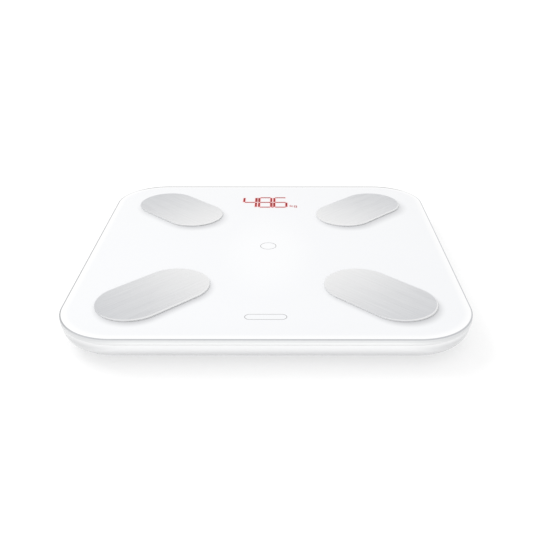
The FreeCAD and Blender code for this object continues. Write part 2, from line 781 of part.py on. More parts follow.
def unit_switch():
    """Small push switch under the board, above the unit button."""
    half = switch_size / 2
    low = board_bottom - switch_height
    body = block(button_x - half, button_x + half, button_y - half, button_y + half, low, board_bottom)
    tip = case_floor + rest_gap + button_flange_thickness + button_travel + pin_gap
    return body.fuse(disc(plunger_radius, tip, low, button_x, button_y)).removeSplitter()


def unit_button():
    """Unit-change button, flush with the underside, with a flange that keeps it in."""
    low = case_bottom + rest_gap
    flange_low = case_floor + rest_gap
    button = disc(button_radius, low, flange_low, button_x, button_y)
    rim = [edge for edge in button.Edges if edge.BoundBox.ZMax < low + rest_gap]
    button = button.makeFillet(button_edge, rim)
    return button.fuse(disc(button_radius + button_flange, flange_low, flange_low + button_flange_thickness,
                            button_x, button_y)).removeSplitter()


# ---- display ---------------------------------------------------------------------------
def segment_places():
    """Centre and half sizes of every light well: three digits, a leading one, point and unit mark."""
    reach_x = (digit_width - segment_width) / 2
    reach_y = (digit_height - segment_width) / 2
    half_w = segment_width / 2
    bar = reach_x - half_w - segment_width / 3
    post = reach_y / 2 - half_w - segment_width / 3
    wells = []
    for digit in (-1, 0, 1):
        x = digit_middle + digit * digit_pitch
        wells += [(x, display_y + level * reach_y, bar, half_w) for level in (-1, 0, 1)]
        wells += [(x + side * reach_x, display_y + level * reach_y / 2, half_w, post)
                  for side in (-1, 1) for level in (-1, 1)]
    lead_x = digit_middle - 2 * digit_pitch + reach_x
    wells += [(lead_x, display_y + level * reach_y / 2, half_w, post) for level in (-1, 1)]
    wells.append((point_x, display_y - reach_y, half_w, half_w))
    wells.append((unit_x, display_y - digit_height / 2 + unit_height / 2, unit_width / 2, unit_height / 2))
    return wells


def display_reflector():
    """Moulded reflector with one light well behind each segment."""
    low = display_board_top
    high = diffuser_bottom
    wells = [block(x - half_x, x + half_x, y - half_y, y + half_y, low, high)
             for x, y, half_x, half_y in segment_places()]
    return display_outline(0, low, high).cut(wells)


def display_diffuser():
    """Thin diffusing film between the reflector and the glass."""
    return display_outline(-fit_gap, diffuser_bottom, glass_bottom)


def display_board():
    """Circuit board under the reflector, longer towards the main board."""
    high_y = display_y + reflector_half_width
    board = block(-display_board_half, display_board_half, display_board_low_y, high_y,
                  display_board_bottom, display_board_top)
    return board.cut([disc(small_screw_radius + fit_gap, display_board_bottom, display_board_top, x, y)
                      for x, y in display_bosses])


def display_leds():
    """One light-emitting diode at the bottom of each well."""
    half = led_size / 2
    return Part.makeCompound([block(x - half, x + half, y - half, y + half,
                                    display_board_top, display_board_top + led_height)
                              for x, y, half_x, half_y in segment_places()])


def display_screws():
    """Four small screws up through the display board into the frame's bosses."""
    one = screw(small_screw_radius, small_screw_length, small_head_radius, small_head_height,
                display_board_bottom - small_head_height)
    return at_places(one, display_bosses)


def display_socket():
    """Ribbon socket on the display board."""
    high_y = display_y - reflector_half_width - fit_gap
    half = ribbon_width / 2 + socket_margin
    return block(-half, half, display_board_low_y, high_y, display_board_top,
                 display_board_top + display_socket_height)


def display_ribbon():
    """Flat flexible ribbon between the two boards, with a little slack."""
    start = Vector(0, board_y + board_width / 2, lead_level)
    end = Vector(0, display_board_low_y, display_board_top + ribbon_lift)
    middle = (start + end) / 2 - Vector(0, 0, ribbon_sag)
    under = Vector(0, 0, -ribbon_thickness)
    edges = [Part.Arc(start, middle, end).toShape(), line(end, end + under),
             Part.Arc(end + under, middle + under, start + under).toShape(), line(start + under, start)]
    face = Part.Face(Part.Wire(edges))
    return face.extrude(Vector(ribbon_width, 0, 0)).translate(Vector(-ribbon_width / 2, 0, 0))


# ---- batteries -------------------------------------------------------------------------
def nub_side(row):
    """The side that a row's positive end points to: rows alternate, starting to the left."""
    return -1 if row % 2 == 0 else 1


def battery(row):
    """One cell: a can with eased ends and a positive nub."""
    length = battery_length - battery_nub
    can = Part.makeCylinder(battery_radius, length, Vector(0, 0, 0), Vector(1, 0, 0))
    can = can.makeFillet(battery_edge, [edge for edge in can.Edges if len(edge.Vertexes) == 1])
    nub = Part.makeCylinder(battery_nub_radius, battery_nub, Vector(length, 0, 0), Vector(1, 0, 0))
    cell = can.fuse(nub).removeSplitter()
    cell.translate(Vector(bay_half_x - contact_thickness - battery_length, 0, 0))
    if nub_side(row) < 0:
        cell.rotate(Vector(0, 0, 0), Vector(0, 0, 1), 180)
    return cell.translate(Vector(0, battery_rows[row], battery_z))


def contact(side, first, last):
    """A contact plate against one end wall, behind the cells from row FIRST to row LAST."""
    outer = side * bay_half_x
    inner = side * (bay_half_x - contact_thickness)
    half = contact_width / 2
    plate_body = block(min(inner, outer), max(inner, outer), battery_rows[last] - half,
                       battery_rows[first] + half, battery_z - half, battery_z + half)
    if first == last:
        y = battery_rows[first]
        tab = block(outer - tab_length, outer, y - tab_width / 2, y + tab_width / 2,
                    battery_z - contact_thickness / 2, battery_z + contact_thickness / 2)
        plate_body = plate_body.fuse(tab).removeSplitter()
    return plate_body


def battery_contacts():
    """Nickel plates that join the four cells in series."""
    return Part.makeCompound([contact(-1, 0, 0), contact(-1, 1, 2), contact(-1, 3, 3),
                              contact(1, 0, 1), contact(1, 2, 3)])


def battery_springs():
    """A coil spring at each cell's negative end."""
    start = -bay_half_x + contact_thickness + spring_wire + bond_gap
    travel = spring_length - 2 * spring_wire - 2 * bond_gap
    steps = round(spring_turns * spring_steps)
    turns = []
    for step in range(steps + 1):
        angle = 2 * math.pi * step / spring_steps
        turns.append(Vector(start + travel * step / steps, spring_radius * math.cos(angle),
                            spring_radius * math.sin(angle)))
    springs = []
    for row in range(cell_count):
        coil = tube(turns, spring_wire)
        if nub_side(row) < 0:
            coil.rotate(Vector(0, 0, 0), Vector(0, 0, 1), 180)
        springs.append(coil.translate(Vector(0, battery_rows[row], battery_z)))
    return Part.makeCompound(springs)


def battery_cover():
    """Cover with hinge knuckles and pins at the heel side and a snap latch at the other."""
    top = case_bottom + cover_thickness
    cover = block(-cover_half_x, cover_half_x, cover_low_y, cover_high_y, case_bottom, top)
    middle_y = (cover_low_y + cover_high_y) / 2
    reach = hinge_pin_length + knuckle_length
    for side in (-1, 1):
        inward = Vector(-side, 0, 0)
        start = Vector(side * cover_half_x, hinge_y, hinge_z)
        knuckle = Part.makeCylinder(hinge_setback, knuckle_length, start, inward)
        pin = Part.makeCylinder(hinge_pin_radius, reach, start - inward * hinge_pin_length, inward)
        cover = cover.fuse([knuckle, pin])
    latch_outer = cover_high_y - slide_gap
    latch = block(-latch_half_width, latch_half_width, latch_outer - latch_thickness, latch_outer,
                  top - cover_thickness / 2, top + latch_height)
    hook_low = top + latch_height - hook_height
    hook = block(-latch_half_width, latch_half_width, latch_outer, latch_outer + hook_reach - slide_gap,
                 hook_low, top + latch_height)
    cover = cover.fuse([latch, hook])
    thumb_y = cover_high_y - thumb_radius / 2
    thumb = Part.makeCylinder(thumb_radius, thumb_depth, Vector(0, thumb_y, case_bottom))
    keep = block(-thumb_radius, thumb_radius, middle_y, thumb_y, case_bottom, case_bottom + thumb_depth)
    return cover.cut(thumb.common(keep)).removeSplitter()


# ---- leads -----------------------------------------------------------------------------
def load_cell_leads(sx, sy):
    """Three leads from a strain gauge to the board."""
    level = cell_top + seal_height
    diagonal = 1 / math.sqrt(2)
    start = cell_size / 2 - cell_frame_width
    out = carrier_radius + lead_clear
    turn_x = foot_x - out * diagonal
    port_x = board_length / 2
    port_y = board_y + sy * cell_port_y
    turn_y = port_y + sy * (toe_lead_turn if sy > 0 else heel_lead_turn)
    leads = []
    for index in (-1, 0, 1):
        shift = index * lead_spacing * diagonal
        route = [(foot_x - start * diagonal, foot_y - start * diagonal, level),
                 (foot_x - out * diagonal, foot_y - out * diagonal, level)]
        points = [Vector(sx * (x + shift), sy * (y - shift), z) for x, y, z in route]
        shifted_port = port_y - sy * shift
        points.append(Vector(sx * (turn_x + shift), turn_y, lead_level))
        points.append(Vector(sx * (port_x + lead_approach + shift), shifted_port, lead_level))
        points.append(Vector(sx * port_x, shifted_port, lead_level))
        leads.append(tube(points, lead_radius))
    return Part.makeCompound(leads)


def electrode_leads():
    """One lead from each electrode's tag to the board."""
    leads = []
    diagonal = 1 / math.sqrt(2)
    tag_level = glass_bottom - bush_flange_thickness - tag_thickness / 2
    reach = electrode_straight + tag_reach + barrel_length
    for name, sx, sy in corners:
        start_x = electrode_x - reach * diagonal
        start_y = electrode_y - reach * diagonal
        port_x = board_length / 2
        port_y = board_y + sy * electrode_port_y
        points = [Vector(sx * start_x, sy * start_y, tag_level),
                  Vector(sx * (start_x - tag_lead_run), sy * (start_y - tag_lead_run), tag_level),
                  Vector(sx * (start_x - tag_lead_drop), sy * (start_y - tag_lead_drop), lead_level),
                  Vector(sx * (port_x + electrode_approach), port_y, lead_level),
                  Vector(sx * port_x, port_y, lead_level)]
        leads.append(tube(points, lead_radius))
    return Part.makeCompound(leads)


def battery_lead(row, port_x, lane):
    """A lead from an end contact's tab to the board's supply socket, LANE steps out from the bay."""
    y = battery_rows[row]
    tab_end = -bay_half_x - tab_length
    side_x = tab_end - lane * supply_lane
    clear_y = bay_y + rebate_half_y + collar_wall + lane * supply_lane
    port_y = board_y - board_width / 2
    points = [Vector(tab_end, y, battery_z),
              Vector(side_x, y, battery_z),
              Vector(side_x, clear_y, supply_level),
              Vector(port_x, clear_y, supply_level),
              Vector(port_x, port_y - supply_approach, lead_level),
              Vector(port_x, port_y, lead_level)]
    return tube(points, lead_radius)


# ---- export ----------------------------------------------------------------------------
def all_parts():
    """Every piece, by name."""
    parts = {
        "glass_platform": glass_platform(),
        "glass_tape": glass_tape(),
        "top_frame": top_frame(),
        "lower_case": lower_case(),
        "case_screws": case_screws(),
        "electrode_bonds": at_each_corner(electrode_bond(), electrode_x, electrode_y),
        "electrode_bushes": at_each_corner(electrode_bush(), electrode_x, electrode_y),
        "electrode_tags": at_each_corner(electrode_tag(), electrode_x, electrode_y),
        "electrode_nuts": at_each_corner(electrode_nut(), electrode_x, electrode_y),
        "electrode_leads": electrode_leads(),
        "gauge_seals": at_each_corner(gauge_seal(), foot_x, foot_y),
        "main_board": main_board(),
        "chip_bodies": chip_bodies(),
        "chip_legs": chip_legs(),
        "radio_module": radio_module(),
        "passives": passives(),
        "connectors": connectors(),
        "board_screws": board_screws(),
        "unit_switch": unit_switch(),
        "unit_button": unit_button(),
        "display_reflector": display_reflector(),
        "display_diffuser": display_diffuser(),
        "display_board": display_board(),
        "display_leds": display_leds(),
        "display_screws": display_screws(),
        "display_socket": display_socket(),
        "display_ribbon": display_ribbon(),
        "battery_contacts": battery_contacts(),
        "battery_springs": battery_springs(),
        "battery_cover": battery_cover(),
        "battery_lead_positive": battery_lead(0, supply_x + lead_spacing, 2),
        "battery_lead_negative": battery_lead(cell_count - 1, supply_x - lead_spacing, 3),
    }
    for row in range(cell_count):
        parts[f"battery_{row + 1}"] = battery(row)
    for name, sx, sy in corners:
        parts[f"electrode_{name}"] = to_corner(electrode(), electrode_x, electrode_y, sx, sy)
        parts[f"foot_pad_{name}"] = to_corner(foot_pad(), foot_x, foot_y, sx, sy)
        parts[f"foot_cup_{name}"] = to_corner(foot_cup(), foot_x, foot_y, sx, sy)
        parts[f"load_cell_{name}"] = to_corner(load_cell(), foot_x, foot_y, sx, sy)
        parts[f"cell_carrier_{name}"] = to_corner(cell_carrier(), foot_x, foot_y, sx, sy)
        parts[f"load_cell_leads_{name}"] = load_cell_leads(sx, sy)
    return parts


os.makedirs("parts", exist_ok=True)
for node, shape in all_parts().items():
    shape.exportStep(f"parts/{node}.step")
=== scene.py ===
import json
import math

import bmesh
import bpy
from mathutils import Matrix, Vector


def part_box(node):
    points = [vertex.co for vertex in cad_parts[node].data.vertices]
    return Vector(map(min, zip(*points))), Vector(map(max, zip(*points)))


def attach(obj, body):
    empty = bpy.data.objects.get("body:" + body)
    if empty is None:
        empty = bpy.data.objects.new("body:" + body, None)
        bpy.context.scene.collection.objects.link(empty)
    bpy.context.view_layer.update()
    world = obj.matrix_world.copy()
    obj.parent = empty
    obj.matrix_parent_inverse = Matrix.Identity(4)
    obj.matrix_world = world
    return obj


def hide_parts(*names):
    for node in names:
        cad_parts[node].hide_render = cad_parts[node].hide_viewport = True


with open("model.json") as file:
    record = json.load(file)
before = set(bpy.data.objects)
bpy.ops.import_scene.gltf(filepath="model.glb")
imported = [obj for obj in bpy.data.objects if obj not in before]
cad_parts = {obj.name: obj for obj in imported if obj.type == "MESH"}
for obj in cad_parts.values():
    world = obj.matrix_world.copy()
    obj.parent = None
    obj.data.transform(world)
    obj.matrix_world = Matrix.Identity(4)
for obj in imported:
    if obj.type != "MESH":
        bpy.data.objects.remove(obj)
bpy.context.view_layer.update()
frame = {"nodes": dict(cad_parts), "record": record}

# A glass-topped bathroom scale.  Metres, +Z up, +Y towards the display, +X to the user's right.
# Colours are red, green, blue and alpha.

MM = 0.001

# ---- places taken from the frame, and the outlines that shading follows ------------------
glass_low, glass_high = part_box("glass_platform")
half_width = glass_high.x
half_depth = glass_high.y
glass_top = glass_high.z
glass_bottom = glass_low.z
case_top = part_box("lower_case")[1].z
corner_radius = 38.7 * MM
electrode_radius = 23.5 * MM
electrode_straight = 17.1 * MM  # from an electrode's middle to the centre of its round end
electrode_end = 42 * MM
CORNERS = {"toe_left": (-1, 1), "toe_right": (1, 1), "heel_left": (-1, -1), "heel_right": (1, -1)}


def middle_of(node):
    """Middle of a CAD node's box."""
    low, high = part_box(node)
    return (low + high) / 2


# ---- shader nodes ------------------------------------------------------------------------
class Graph:
    """Adds nodes to a shader tree and joins them."""

    def __init__(self, tree):
        self.tree = tree

    def feed(self, socket, value):
        """Join a socket to another one, or set its value."""
        if isinstance(value, bpy.types.NodeSocket):
            self.tree.links.new(value, socket)
        else:
            socket.default_value = value

    def add(self, kind, settings=None, **inputs):
        """A node of that kind, with its inputs given by name."""
        node = self.tree.nodes.new("ShaderNode" + kind)
        for name, value in (settings or {}).items():
            setattr(node, name, value)
        for name, value in inputs.items():
            self.feed(node.inputs[name.replace("_", " ")], value)
        return node

    def math(self, operation, first, second=0.0, clamp=False):
        """One sum on two numbers."""
        node = self.add("Math", {"operation": operation, "use_clamp": clamp})
        self.feed(node.inputs[0], first)
        self.feed(node.inputs[1], second)
        return node.outputs[0]

    def vector(self, operation, first, second=(0.0, 0.0, 0.0)):
        """One sum on two vectors."""
        node = self.add("VectorMath", {"operation": operation})
        self.feed(node.inputs[0], first)
        self.feed(node.inputs[1], second)
        return node.outputs["Value" if operation == "LENGTH" else "Vector"]

    def scale(self, vector, factor):
        """A vector or colour times a number."""
        node = self.add("VectorMath", {"operation": "SCALE"}, Scale=factor)
        self.feed(node.inputs[0], vector)
        return node.outputs["Vector"]

    def blend(self, factor, first, second):
        """FIRST where the factor is 0, SECOND where it is 1."""
        node = self.add("Mix", {"data_type": "RGBA"})
        self.feed(node.inputs["Factor"], factor)
        self.feed(node.inputs["A"], first)
        self.feed(node.inputs["B"], second)
        return node.outputs["Result"]

    def rise(self, value, low, high, start=0.0, end=1.0, smooth=True):
        """START at LOW, END at HIGH, and level outside."""
        kind = "SMOOTHSTEP" if smooth else "LINEAR"
        node = self.add("MapRange", {"interpolation_type": kind, "clamp": True})
        for name, number in (("Value", value), ("From Min", low), ("From Max", high),
                             ("To Min", start), ("To Max", end)):
            self.feed(node.inputs[name], number)
        return node.outputs["Result"]

    def noise(self, place, scale, detail=2.0, roughness=0.5):
        """Cloudy noise from 0 to 1."""
        node = self.add("TexNoise", Vector=place, Scale=scale, Detail=detail, Roughness=roughness)
        return node.outputs["Fac"]

    def split(self, place):
        """The three parts of a vector."""
        return self.add("SeparateXYZ", Vector=place).outputs

    def source(self):
        """Object coordinates: places on the scale at rest."""
        return self.add("TexCoord").outputs["Object"]

    def place(self, offset=(0, 0, 0), turn=0.0):
        """Object coordinates, moved, then turned about +Z."""
        moved = self.vector("SUBTRACT", self.source(), tuple(offset))
        mapping = self.add("Mapping", {"vector_type": "POINT"}, Vector=moved)
        mapping.inputs["Rotation"].default_value = (0.0, 0.0, -turn)
        return mapping.outputs["Vector"]


def new_group(name, inputs, outputs):
    """An empty shader group with named sockets: (name, kind, default) in, (name, kind) out."""
    tree = bpy.data.node_groups.new(name, "ShaderNodeTree")
    for label, kind, default in inputs:
        socket = tree.interface.new_socket(label, in_out="INPUT", socket_type="NodeSocket" + kind)
        socket.default_value = default
    for label, kind in outputs:
        tree.interface.new_socket(label, in_out="OUTPUT", socket_type="NodeSocket" + kind)
    given = tree.nodes.new("NodeGroupInput").outputs
    out = tree.nodes.new("NodeGroupOutput").inputs
    return tree, Graph(tree), given, out


def moulded_group():
    """Moulded plastic or rubber: slight unevenness of tone and gloss over a fine tool grain."""
    tree, graph, given, out = new_group(
        "moulded_surface",
        [("Colour", "Color", (0.9, 0.9, 0.9, 1)), ("Shade", "Float", 0.04), ("Roughness", "Float", 0.4),
         ("Spread", "Float", 0.1), ("Grain", "Float", 2500.0)],
        [("Colour", "Color"), ("Roughness", "Float"), ("Height", "Float")])
    place = graph.place()
    cloud = graph.noise(place, 22.0, 3.0, 0.6)
    grain = graph.noise(place, given["Grain"], 1.0, 0.5)
    mottle = graph.math("ADD", cloud, graph.math("MULTIPLY", grain, 0.5))
    tone = graph.math("MULTIPLY", mottle, given["Shade"])
    dark = graph.scale(given["Colour"], 0.55)
    graph.feed(out["Colour"], graph.blend(tone, given["Colour"], dark))
    swing = graph.math("MULTIPLY", graph.math("SUBTRACT", cloud, 0.5), given["Spread"])
    graph.feed(out["Roughness"], graph.math("ADD", given["Roughness"], swing, clamp=True))
    graph.feed(out["Height"], grain)
    return tree


def metal_group():
    """Plated or rolled metal: faint cloudy tarnish and fine random scratches."""
    tree, graph, given, out = new_group(
        "plated_surface",
        [("Colour", "Color", (0.7, 0.7, 0.7, 1)), ("Tarnish", "Float", 0.2), ("Roughness", "Float", 0.3),
         ("Scratches", "Float", 900.0)],
        [("Colour", "Color"), ("Roughness", "Float"), ("Height", "Float")])
    place = graph.place()
    cloud = graph.noise(place, 180.0, 3.0, 0.6)
    lines = graph.noise(graph.vector("MULTIPLY", place, (0.06, 1.0, 1.0)), given["Scratches"], 2.0, 0.6)
    dark = graph.scale(given["Colour"], 0.6)
    tone = graph.math("MULTIPLY", graph.math("MULTIPLY", cloud, lines), given["Tarnish"])
    graph.feed(out["Colour"], graph.blend(tone, given["Colour"], dark))
    swing = graph.math("MULTIPLY", graph.math("SUBTRACT", lines, 0.5), 0.25)
    graph.feed(out["Roughness"], graph.math("ADD", given["Roughness"], swing, clamp=True))
    graph.feed(out["Height"], lines)
    return tree


def brushed_group():
    """Long parallel brush strokes along the vector's X: fine, coarse and broad."""
    tree, graph, given, out = new_group(
        "brushed_strokes", [("Vector", "Vector", (0, 0, 0))], [("Stroke", "Float"), ("Height", "Float")])
    fine = graph.noise(graph.vector("MULTIPLY", given["Vector"], (45.0, 2400.0, 0.0)), 1.0, 2.0, 0.6)
    coarse = graph.noise(graph.vector("MULTIPLY", given["Vector"], (22.0, 820.0, 0.0)), 1.0, 3.0, 0.65)
    broad = graph.noise(graph.vector("MULTIPLY", given["Vector"], (12.0, 160.0, 0.0)), 1.0, 2.0, 0.5)
    mixed = graph.math("ADD", graph.math("MULTIPLY", fine, 0.35), graph.math("MULTIPLY", coarse, 0.45))
    graph.feed(out["Stroke"], graph.math("ADD", mixed, graph.math("MULTIPLY", broad, 0.2)))
    graph.feed(out["Height"], mixed)
    return tree


def outline_group():
    """How far inside the platform's rounded outline a point lies, in metres."""
    tree, graph, given, out = new_group(
        "inside_outline", [("Vector", "Vector", (0, 0, 0))], [("Inset", "Float")])
    x, y, _ = graph.split(graph.vector("ABSOLUTE", given["Vector"]))
    over_x = graph.math("SUBTRACT", x, half_width - corner_radius)
    over_y = graph.math("SUBTRACT", y, half_depth - corner_radius)
    round_x = graph.math("MAXIMUM", over_x, 0.0)
    round_y = graph.math("MAXIMUM", over_y, 0.0)
    squares = graph.math("ADD", graph.math("MULTIPLY", round_x, round_x),
                         graph.math("MULTIPLY", round_y, round_y))
    straight = graph.math("MINIMUM", graph.math("MAXIMUM", over_x, over_y), 0.0)
    outward = graph.math("ADD", graph.math("SQRT", squares), straight)
    graph.feed(out["Inset"], graph.math("SUBTRACT", corner_radius, outward))
    return tree


def electrode_reach_group():
    """How far outside the nearest electrode's outline a point lies, in metres."""
    tree, graph, given, out = new_group(
        "electrode_reach", [("Vector", "Vector", (0, 0, 0))], [("Outside", "Float")])
    centre = middle_of("electrode_toe_right")
    x, y, _ = graph.split(graph.vector("ABSOLUTE", given["Vector"]))
    from_x = graph.math("SUBTRACT", x, centre.x)
    from_y = graph.math("SUBTRACT", y, centre.y)
    along = graph.math("MULTIPLY", graph.math("ADD", from_x, from_y), math.sqrt(0.5))
    across = graph.math("MULTIPLY", graph.math("SUBTRACT", from_x, from_y), math.sqrt(0.5))
    beyond = graph.math("SUBTRACT", graph.math("ABSOLUTE", along), electrode_straight)
    past = graph.math("MAXIMUM", beyond, 0.0)
    squares = graph.math("ADD", graph.math("MULTIPLY", past, past), graph.math("MULTIPLY", across, across))
    graph.feed(out["Outside"], graph.math("SUBTRACT", graph.math("SQRT", squares), electrode_radius))
    return tree


def corner_group():
    """0 along the sides and 1 round the four corners of the scale."""
    tree, graph, given, out = new_group(
        "near_corner", [("Vector", "Vector", (0, 0, 0))], [("Corner", "Float")])
    x, y, _ = graph.split(graph.vector("ABSOLUTE", given["Vector"]))
    corner = graph.rise(graph.math("MINIMUM", x, y), half_width - 55 * MM, half_width - 14 * MM)
    graph.feed(out["Corner"], corner)
    return tree


MOULDED = moulded_group()
PLATED = metal_group()
BRUSHED = brushed_group()
OUTLINE = outline_group()
ELECTRODE_REACH = electrode_reach_group()
NEAR_CORNER = corner_group()


def new_material(name, **constants):
    """A material with its Principled shader's plain values set."""
    material = bpy.data.materials.new(name)
    material.use_nodes = True
    shader = material.node_tree.nodes["Principled BSDF"]
    for label, value in constants.items():
        shader.inputs[label.replace("_", " ")].default_value = value
    return material, Graph(material.node_tree), shader


def use_group(graph, group, **inputs):
    """Place a shared group with its own values."""
    node = graph.add("Group", {"node_tree": group})
    for label, value in inputs.items():
        graph.feed(node.inputs[label], value)
    return node.outputs


def bump(graph, shader, height, depth):
    """Join a height to the shader's normal."""
    node = graph.add("Bump", Height=height, Strength=depth, Distance=0.2 * MM)
    graph.feed(shader.inputs["Normal"], node.outputs["Normal"])


def moulded(name, colour, roughness, shade=0.04, grain=2500.0, depth=0.15, **constants):
    """Moulded plastic, rubber, foam or silicone."""
    material, graph, shader = new_material(name, **constants)
    out = use_group(graph, MOULDED, Colour=(*colour, 1), Shade=shade, Roughness=roughness, Grain=grain)
    graph.feed(shader.inputs["Base Color"], out["Colour"])
    graph.feed(shader.inputs["Roughness"], out["Roughness"])
    bump(graph, shader, out["Height"], depth)
    return material


def plated(name, colour, roughness):
    """Plated, rolled or tinned metal."""
    material, graph, shader = new_material(name, Metallic=1.0)
    out = use_group(graph, PLATED, Colour=(*colour, 1), Roughness=roughness)
    graph.feed(shader.inputs["Base Color"], out["Colour"])
    graph.feed(shader.inputs["Roughness"], out["Roughness"])
    bump(graph, shader, out["Height"], 0.1)
    return material


# ---- the glass platform's material -------------------------------------------------------
def print_tone_with_highlight(graph, source, inset):
    """White print under the glass, whiter along the border, with a painted highlight brightening the middle.
    """
    field = (0.905, 0.912, 0.928, 1)
    # painted highlight: a soft glare over the middle of the print
    highlight_middle = (0.935, 0.94, 0.95, 1)
    border = (0.975, 0.975, 0.975, 1)
    highlight_centre = Vector((0.0, -8 * MM, glass_top))
    highlight_size = (40 * MM, 82 * MM, 1.0)
    from_centre = graph.vector("SUBTRACT", source, tuple(highlight_centre))
    reach = graph.vector("LENGTH", graph.vector("DIVIDE", from_centre, highlight_size))
    tone = graph.blend(graph.rise(reach, 1.0, 0.25), field, highlight_middle)
    return graph.blend(graph.rise(inset, 6.6 * MM, 1.6 * MM), tone, border)


def add_electrode_shade(graph, source, y, tone):
    """Painted shadow on the print beside each electrode, cast towards the heel and the right, spreading wider
    towards the toe end.
    """
    # grey of the painted shadow that each electrode casts on the print
    grey = (0.54, 0.545, 0.56, 1)
    cast_at_heel = (1.6 * MM, -4.4 * MM, 0.0)
    spread = graph.rise(y, -90 * MM, 90 * MM, 1.0, 1.6, smooth=False)
    shifted = graph.vector("SUBTRACT", source, graph.scale(cast_at_heel, spread))
    outside = use_group(graph, ELECTRODE_REACH, Vector=shifted)["Outside"]
    shade = graph.rise(graph.math("DIVIDE", outside, spread), 3.4 * MM, -5.0 * MM)
    return graph.blend(graph.math("MULTIPLY", shade, 0.85), tone, grey)


def ground_edge_tone(graph, source, z):
    """Ground side of the glass: paler along its foot, with painted shade greying it round the corners."""
    foot = (0.91, 0.92, 0.92, 1)
    wall = (0.80, 0.81, 0.815, 1)
    corner_shade_grey = (0.66, 0.665, 0.675, 1)
    tone = graph.blend(graph.rise(z, glass_bottom + 1.6 * MM, glass_bottom + 2.2 * MM), foot, wall)
    # painted shade round the corners of the glass edge
    corner = use_group(graph, NEAR_CORNER, Vector=source)["Corner"]
    return graph.blend(graph.math("MULTIPLY", corner, 0.7), tone, corner_shade_grey)


def add_arris(graph, x, y, z, inset, tone):
    """Thin grey line of the polished arris, with painted shade making it darker at the left, and darkest and
    widest at the toe end.
    """
    plain = (0.55, 0.56, 0.58, 1)
    # these two tones are painted shade on the arris line, by side
    left = (0.40, 0.405, 0.42, 1)
    toe = (0.15, 0.15, 0.16, 1)
    narrow = 0.75 * MM
    ramp = 20 * MM
    soft = 0.08 * MM
    toe_side = graph.rise(y, half_depth - ramp, half_depth)
    left_side = graph.rise(x, ramp - half_width, -half_width)
    flank_width = graph.rise(graph.math("ABSOLUTE", x), half_width - ramp, half_width, narrow, 0.95 * MM)
    width = graph.math("MAXIMUM", flank_width, graph.rise(toe_side, 0.0, 1.0, narrow, 1.6 * MM))
    within = graph.rise(graph.math("SUBTRACT", inset, width), soft, -soft)
    near_top = graph.rise(z, glass_top - 0.7 * MM, glass_top - 0.45 * MM)
    arris_tone = graph.blend(toe_side, graph.blend(left_side, plain, left), toe)
    return graph.blend(graph.math("MULTIPLY", within, near_top), tone, arris_tone)


def platform_material():
    """Tempered glass printed white beneath, with a ground edge and a polished arris, and with painted
    highlight and painted shade in its colour.
    """
    material, graph, shader = new_material("white_backed_glass", IOR=1.5, Coat_Roughness=0.02)
    source = graph.source()
    inset = use_group(graph, OUTLINE, Vector=source)["Inset"]
    x, y, z = graph.split(source)
    tone = add_electrode_shade(graph, source, y, print_tone_with_highlight(graph, source, inset))
    cloud = graph.noise(source, 9.0, 2.0, 0.5)
    tone = graph.blend(graph.math("MULTIPLY", cloud, 0.02), tone, (0.8, 0.82, 0.85, 1))
    on_edge = graph.rise(inset, 0.10 * MM, 0.05 * MM)
    tone = graph.blend(on_edge, tone, ground_edge_tone(graph, source, z))
    graph.feed(shader.inputs["Base Color"], add_arris(graph, x, y, z, inset, tone))
    haze = graph.rise(graph.noise(source, 35.0, 3.0, 0.6), 0.3, 0.8, 0.05, 0.09)
    edge_haze = graph.rise(inset, 0.9 * MM, 0.6 * MM, 0.0, 0.3)
    graph.feed(shader.inputs["Roughness"], graph.math("ADD", haze, edge_haze))
    bump(graph, shader, graph.noise(source, 18.0, 1.0, 0.4), 0.05)
    return material


# ---- materials of the other pieces -------------------------------------------------------
def case_material():
    """Glossy white moulding with painted shade: greyer low down and round its corners, and darker on the rim
    face under the glass as shade in the seam.
    """
    low_shade_grey = (0.55, 0.555, 0.565, 1)
    rim_shade_grey = (0.42, 0.425, 0.43, 1)
    material, graph, shader = new_material("case_gloss_plastic")
    out = use_group(graph, MOULDED, Colour=(0.945, 0.95, 0.955, 1), Roughness=0.24, Grain=1800.0)
    source = graph.source()
    height = graph.split(source)["Z"]
    # painted shade: greyer low down, and round the corners near the top
    low_shade = graph.rise(height, case_top - 1.2 * MM, case_top - 9.5 * MM, 0.0, 0.80)
    corner = use_group(graph, NEAR_CORNER, Vector=source)["Corner"]
    corner_shade = graph.math("MULTIPLY", corner, graph.rise(height, case_top + 0.5 * MM, case_top - 4.0 * MM))
    greyer = graph.math("MAXIMUM", low_shade, graph.math("MULTIPLY", corner_shade, 0.65))
    wall = graph.blend(greyer, out["Colour"], low_shade_grey)
    # painted shade: the rim face under the glass is darkened as shade in the seam
    rim_shade = graph.rise(height, case_top - 0.03 * MM, case_top - 0.01 * MM)
    graph.feed(shader.inputs["Base Color"], graph.blend(rim_shade, wall, rim_shade_grey))
    graph.feed(shader.inputs["Roughness"], out["Roughness"])
    bump(graph, shader, out["Height"], 0.05)
    return material


